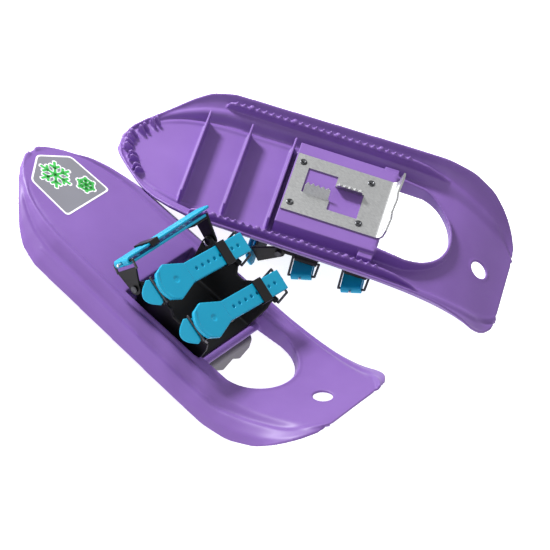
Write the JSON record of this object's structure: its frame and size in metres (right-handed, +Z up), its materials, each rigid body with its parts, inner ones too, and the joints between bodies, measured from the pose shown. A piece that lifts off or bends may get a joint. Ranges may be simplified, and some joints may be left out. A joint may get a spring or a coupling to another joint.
{
  "type": "child snowshoe pair",
  "caption": "Pair of small moulded snowshoes with rubber strap bindings, lying side by side: the first deck side up, the second turned over so its steel plate and claws show.",
  "frame": {"origin": "bottom centre of the box round both shoes, on the ground", "axes": "+Z up; +X from tail to nose of shoe a; +Y from shoe a towards shoe b"},
  "size_m": [0.4468, 0.473, 0.1266],
  "materials": {
    "deck_plastic": "satin moulded plastic",
    "label_print": "printed film, satin",
    "plate_steel": "satin stainless steel",
    "rivet_steel": "dark coated steel",
    "washer_steel": "satin",
    "base_rubber": "semi-matt black rubber",
    "strap_elastomer": "semi-gloss elastomer",
    "keeper_plastic": "semi-gloss",
    "wire_steel": "dark coated wire",
    "pin_steel": "bright"
  },
  "bodies": {
    "a_frame": {"a_deck": "deck_plastic", "a_tail_label": "label_print", "a_crampon_plate": "plate_steel", "a_mounting_rivets": "rivet_steel", "a_rivet_washers": "washer_steel", "a_binding_base": "base_rubber", "a_heel_pivot_pins": "wire_steel", "a_toe_strap": "strap_elastomer", "a_toe_ring": "wire_steel", "a_toe_buckle": "wire_steel", "a_toe_prong": "pin_steel", "a_instep_strap": "strap_elastomer", "a_instep_ring": "wire_steel", "a_instep_buckle": "wire_steel", "a_instep_prong": "pin_steel"},
    "a_toe_tail_body": {"a_toe_strap_tail": "strap_elastomer"},
    "a_toe_keeper_body": {"a_toe_keeper": "keeper_plastic"},
    "a_instep_tail_body": {"a_instep_strap_tail": "strap_elastomer"},
    "a_instep_keeper_body": {"a_instep_keeper": "keeper_plastic"},
    "a_heel_body": {"a_heel_strap": "strap_elastomer", "a_heel_link": "base_rubber", "a_heel_wing": "base_rubber", "a_heel_prong": "pin_steel"},
    "a_heel_tail_body": {"a_heel_strap_tail": "strap_elastomer"},
    "a_heel_keeper_body": {"a_heel_keeper": "keeper_plastic"},
    "b_frame": {"b_deck": "deck_plastic", "b_tail_label": "label_print", "b_crampon_plate": "plate_steel", "b_mounting_rivets": "rivet_steel", "b_rivet_washers": "washer_steel", "b_binding_base": "base_rubber", "b_heel_pivot_pins": "wire_steel", "b_toe_strap": "strap_elastomer", "b_toe_ring": "wire_steel", "b_toe_buckle": "wire_steel", "b_toe_prong": "pin_steel", "b_instep_strap": "strap_elastomer", "b_instep_ring": "wire_steel", "b_instep_buckle": "wire_steel", "b_instep_prong": "pin_steel"},
    "b_toe_tail_body": {"b_toe_strap_tail": "strap_elastomer"},
    "b_toe_keeper_body": {"b_toe_keeper": "keeper_plastic"},
    "b_instep_tail_body": {"b_instep_strap_tail": "strap_elastomer"},
    "b_instep_keeper_body": {"b_instep_keeper": "keeper_plastic"},
    "b_heel_body": {"b_heel_strap": "strap_elastomer", "b_heel_link": "base_rubber", "b_heel_wing": "base_rubber", "b_heel_prong": "pin_steel"},
    "b_heel_tail_body": {"b_heel_strap_tail": "strap_elastomer"},
    "b_heel_keeper_body": {"b_heel_keeper": "keeper_plastic"}
  },
  "joints": [
    {"name": "a_toe_tail_peel", "type": "hinge", "parent": "a_frame", "child": "a_toe_tail_body", "pos_m": [0.05124, -0.06946, 0.07925], "axis": [-0.973, 0.0567, 0.2237], "range_deg": [0, 100]},
    {"name": "a_toe_keeper_slide", "type": "slide", "parent": "a_toe_tail_body", "child": "a_toe_keeper_body", "axis": [-0.0594, -0.9982, -0.0053], "range_m": [-0.012, 0.045]},
    {"name": "a_instep_tail_peel", "type": "hinge", "parent": "a_frame", "child": "a_instep_tail_body", "pos_m": [-0.0029, -0.06946, 0.07845], "axis": [-0.973, 0.0567, 0.2237], "range_deg": [0, 100]},
    {"name": "a_instep_keeper_slide", "type": "slide", "parent": "a_instep_tail_body", "child": "a_instep_keeper_body", "axis": [-0.0594, -0.9982, -0.0053], "range_m": [-0.012, 0.045]},
    {"name": "a_heel_swing", "type": "hinge", "parent": "a_frame", "child": "a_heel_body", "pos_m": [-0.03084, -0.13646, 0.05388], "axis": [0, 1, 0], "range_deg": [-22, 35]},
    {"name": "a_heel_tail_peel", "type": "hinge", "parent": "a_heel_body", "child": "a_heel_tail_body", "pos_m": [-0.05692, -0.20146, 0.06656], "axis": [0.4371, 0, 0.8994], "range_deg": [0, 90]},
    {"name": "a_heel_keeper_slide", "type": "slide", "parent": "a_heel_tail_body", "child": "a_heel_keeper_body", "axis": [0, 1, 0], "range_m": [-0.02, 0.06]},
    {"name": "b_toe_tail_peel", "type": "hinge", "parent": "b_frame", "child": "b_toe_tail_body", "pos_m": [0.09256, 0.04703, 0.03749], "axis": [-0.7347, -0.3812, -0.5611], "range_deg": [0, 100]},
    {"name": "b_toe_keeper_slide", "type": "slide", "parent": "b_toe_tail_body", "child": "b_toe_keeper_body", "axis": [-0.4901, 0.8702, 0.0506], "range_m": [-0.012, 0.045]},
    {"name": "b_instep_tail_peel", "type": "hinge", "parent": "b_frame", "child": "b_instep_tail_body", "pos_m": [0.04638, 0.02581, 0.01881], "axis": [-0.7347, -0.3812, -0.5611], "range_deg": [0, 100]},
    {"name": "b_instep_keeper_slide", "type": "slide", "parent": "b_instep_tail_body", "child": "b_instep_keeper_body", "axis": [-0.4901, 0.8702, 0.0506], "range_m": [-0.012, 0.045]},
    {"name": "b_heel_swing", "type": "hinge", "parent": "b_frame", "child": "b_heel_body", "pos_m": [-0.01399, 0.06971, 0.03617], "axis": [0.439, -0.896, -0.0671], "range_deg": [-22, 35]},
    {"name": "b_heel_tail_peel", "type": "hinge", "parent": "b_heel_body", "child": "b_heel_tail_body", "pos_m": [-0.06092, 0.12052, 0.01937], "axis": [0.6365, 0.3628, -0.6806], "range_deg": [0, 90]},
    {"name": "b_heel_keeper_slide", "type": "slide", "parent": "b_heel_tail_body", "child": "b_heel_keeper_body", "axis": [0.439, -0.896, -0.0671], "range_m": [-0.02, 0.06]},
    {"name": "b_shift", "type": "slide", "parent": "a_frame", "child": "b_frame", "axis": [0, 1, 0], "range_m": [0, 0.15]}
  ]
}
